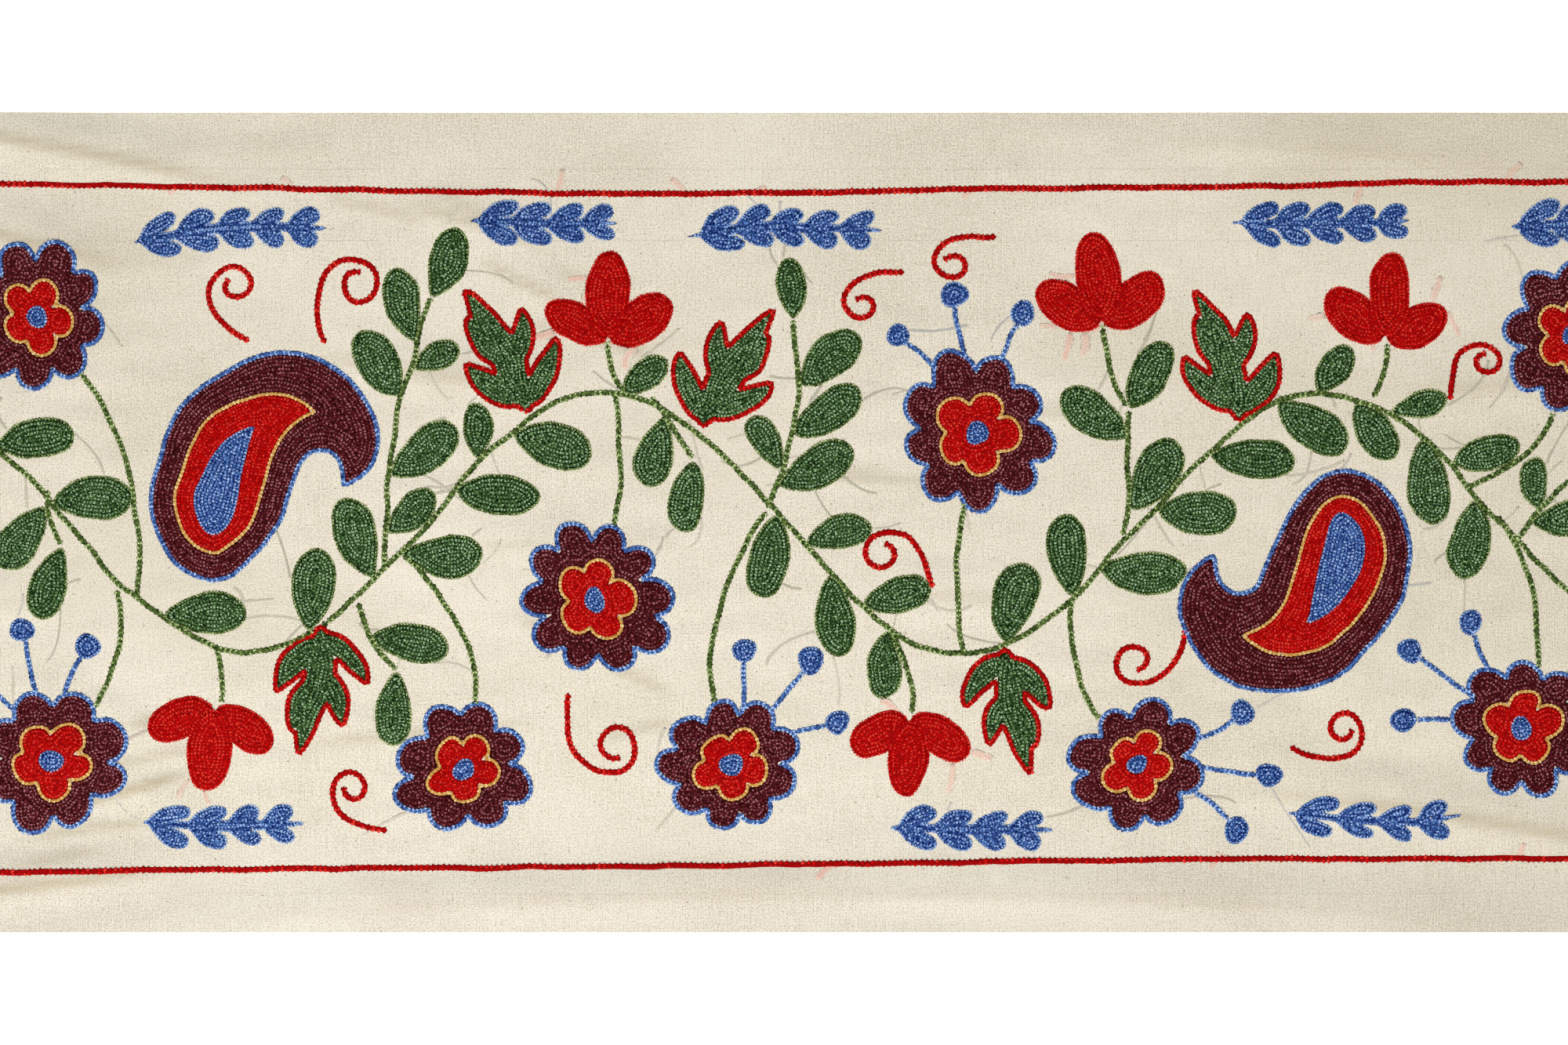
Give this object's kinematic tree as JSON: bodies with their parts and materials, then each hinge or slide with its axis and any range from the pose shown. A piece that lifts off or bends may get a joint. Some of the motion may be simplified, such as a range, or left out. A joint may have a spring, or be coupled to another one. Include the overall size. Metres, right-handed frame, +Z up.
{
  "type": "embroidered tablecloth",
  "caption": "Narrow cotton tablecloth lying face up in low folds, with a chain-stitched floral band between two red border lines.",
  "frame": {"origin": "middle of the cloth's underside, on the table", "axes": "+X along the cloth's length, +Y across it to the upper border line, +Z up from the table"},
  "size_m": [0.8, 0.366, 0.0052],
  "materials": {
    "cotton_cloth": "plain-woven unbleached cotton, matt",
    "green_thread": "chain-stitched wool thread, matt",
    "maroon_thread": "chain-stitched wool thread, matt",
    "red_thread": "chain-stitched wool thread, matt",
    "blue_thread": "chain-stitched wool thread, matt",
    "gold_thread": "chain-stitched wool thread, matt"
  },
  "bodies": {
    "root": {"cloth": "cotton_cloth"}
  },
  "joints": []
}
